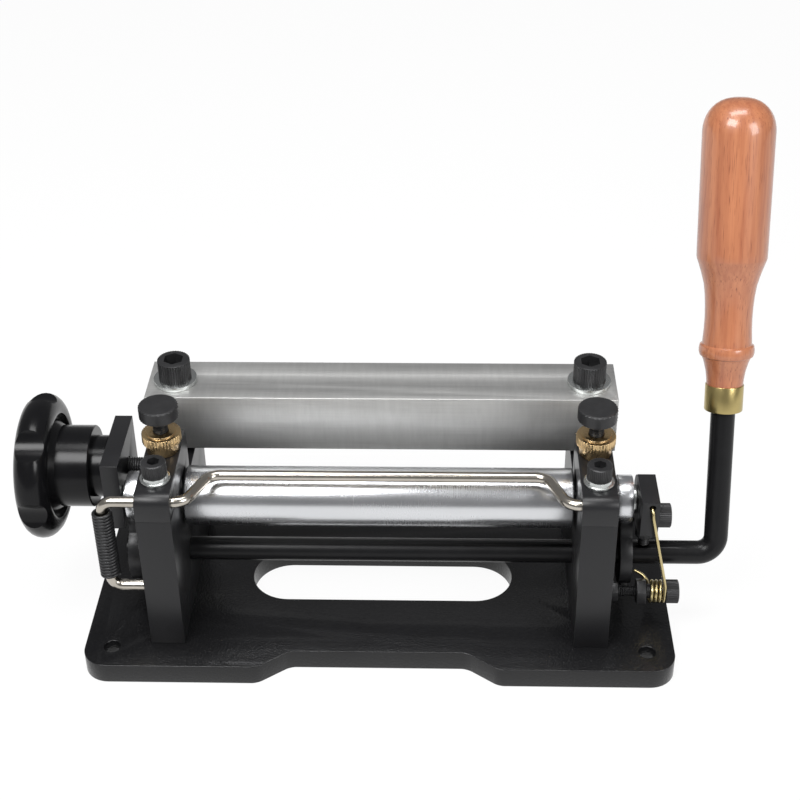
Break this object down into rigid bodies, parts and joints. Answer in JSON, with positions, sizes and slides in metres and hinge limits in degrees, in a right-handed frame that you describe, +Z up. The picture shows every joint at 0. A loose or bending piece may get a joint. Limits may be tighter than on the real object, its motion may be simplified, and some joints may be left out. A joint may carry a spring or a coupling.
{
  "type": "leather splitting machine",
  "caption": "Bench machine that splits leather: a hand lever lifts a polished roller by cams towards a blade clamped under a steel bar across two posts.",
  "frame": {"origin": "centre of the base plate's underside, between its mounting holes", "axes": "+X along the roller towards the lever, +Y towards the bar and the blade, +Z up; -Y is the operator's side"},
  "size_m": [0.3974, 0.1529, 0.2798],
  "materials": {
    "hammered_black": "gloss paint with a fine hammered texture",
    "satin_black": "satin paint",
    "gloss_black": "gloss paint",
    "black_oxide": "black oxide",
    "zinc": "zinc plate",
    "ground_steel": "ground, brushed along its length",
    "blade_steel": "ground",
    "polished_steel": "polished",
    "nickel_rod": "drawn and polished",
    "brass": "machined",
    "wood": "varnished",
    "bakelite": "gloss",
    "spring_black": "black oxide spring wire",
    "spring_zinc": "yellow zinc spring wire"
  },
  "bodies": {
    "frame": {"base_plate": "hammered_black", "left_post": "satin_black", "right_post": "satin_black", "left_cap": "satin_black", "right_cap": "satin_black", "post_screws": "black_oxide", "cap_screws": "black_oxide", "cap_washers": "zinc", "bar": "ground_steel", "bar_bolts": "black_oxide", "bar_washers": "zinc", "guide_spring": "spring_black", "guide_spring_pin": "nickel_rod", "return_spring": "spring_zinc", "spring_screw": "black_oxide", "spring_nuts": "black_oxide"},
    "blade": {"blade": "blade_steel"},
    "carriage": {"left_bearing": "polished_steel", "right_bearing": "polished_steel", "journal_washers": "zinc", "lock_plate": "satin_black", "hold_down_block": "satin_black", "block_screw": "black_oxide"},
    "roller": {"roller": "polished_steel", "roller_axle": "polished_steel"},
    "lever": {"lever_rod": "gloss_black", "lever_ferrule": "brass", "lever_grip": "wood", "left_cam": "black_oxide", "right_cam": "black_oxide", "cam_set_screws": "black_oxide", "striker_screw": "black_oxide"},
    "left_thumb_screw": {"left_thumb_shank": "black_oxide"},
    "right_thumb_screw": {"right_thumb_shank": "black_oxide"},
    "left_thumb_head": {"left_thumb_head": "black_oxide"},
    "right_thumb_head": {"right_thumb_head": "black_oxide"},
    "left_lock_nut": {"left_lock_nut": "brass"},
    "right_lock_nut": {"right_lock_nut": "brass"},
    "guide_rod": {"guide_rod": "nickel_rod"},
    "lock_stud": {"lock_stud": "black_oxide"},
    "hand_knob": {"hand_knob": "bakelite"}
  },
  "joints": [
    {"name": "lever_turn", "type": "hinge", "parent": "frame", "child": "lever", "pos_m": [0, -0.011, 0.0434], "axis": [1, 0, 0], "range_deg": [0, 85]},
    {"name": "roller_lift", "type": "slide", "parent": "frame", "child": "carriage", "axis": [0, 0, 1], "range_m": [0, 0.0024], "deforming": ["return_spring"]},
    {"name": "roller_spin", "type": "hinge", "parent": "carriage", "child": "roller", "pos_m": [0, -0.011, 0.0805], "axis": [1, 0, 0], "continuous": true},
    {"name": "blade_feed", "type": "slide", "parent": "frame", "child": "blade", "axis": [0, -1, 0], "range_m": [0, 0.0115]},
    {"name": "guide_turn", "type": "hinge", "parent": "frame", "child": "guide_rod", "pos_m": [0, -0.0475, 0.104], "axis": [1, 0, 0], "range_deg": [0, 20], "stiffness_Nm_per_rad": 0.6, "springref_deg": -20.05, "deforming": ["guide_spring"]},
    {"name": "left_screw_lift", "type": "slide", "parent": "frame", "child": "left_thumb_screw", "axis": [0, 0, 1], "range_m": [0, 0.0025]},
    {"name": "left_head_turn", "type": "hinge", "parent": "left_thumb_screw", "child": "left_thumb_head", "pos_m": [-0.11475, -0.011, 0.13], "axis": [0, 0, 1], "range_deg": [0, 720]},
    {"name": "left_nut_turn", "type": "hinge", "parent": "frame", "child": "left_lock_nut", "pos_m": [-0.11475, -0.011, 0.115], "axis": [0, 0, 1], "continuous": true},
    {"name": "right_screw_lift", "type": "slide", "parent": "frame", "child": "right_thumb_screw", "axis": [0, 0, 1], "range_m": [0, 0.0025]},
    {"name": "right_head_turn", "type": "hinge", "parent": "right_thumb_screw", "child": "right_thumb_head", "pos_m": [0.11475, -0.011, 0.13], "axis": [0, 0, 1], "range_deg": [0, 720]},
    {"name": "right_nut_turn", "type": "hinge", "parent": "frame", "child": "right_lock_nut", "pos_m": [0.11475, -0.011, 0.115], "axis": [0, 0, 1], "continuous": true},
    {"name": "stud_slide", "type": "slide", "parent": "frame", "child": "lock_stud", "axis": [-1, 0, 0], "range_m": [0, 0.003]},
    {"name": "knob_turn", "type": "hinge", "parent": "lock_stud", "child": "hand_knob", "pos_m": [-0.17, 0.007, 0.0865], "axis": [-1, 0, 0], "range_deg": [0, 720]}
  ],
  "couplings": [
    {"joint": "lever_turn", "follows": "roller_lift", "rad_per_m": 618.13},
    {"joint": "left_head_turn", "follows": "left_screw_lift", "rad_per_m": 5026.5},
    {"joint": "right_head_turn", "follows": "right_screw_lift", "rad_per_m": 5026.5},
    {"joint": "knob_turn", "follows": "stud_slide", "rad_per_m": 4188.7}
  ]
}
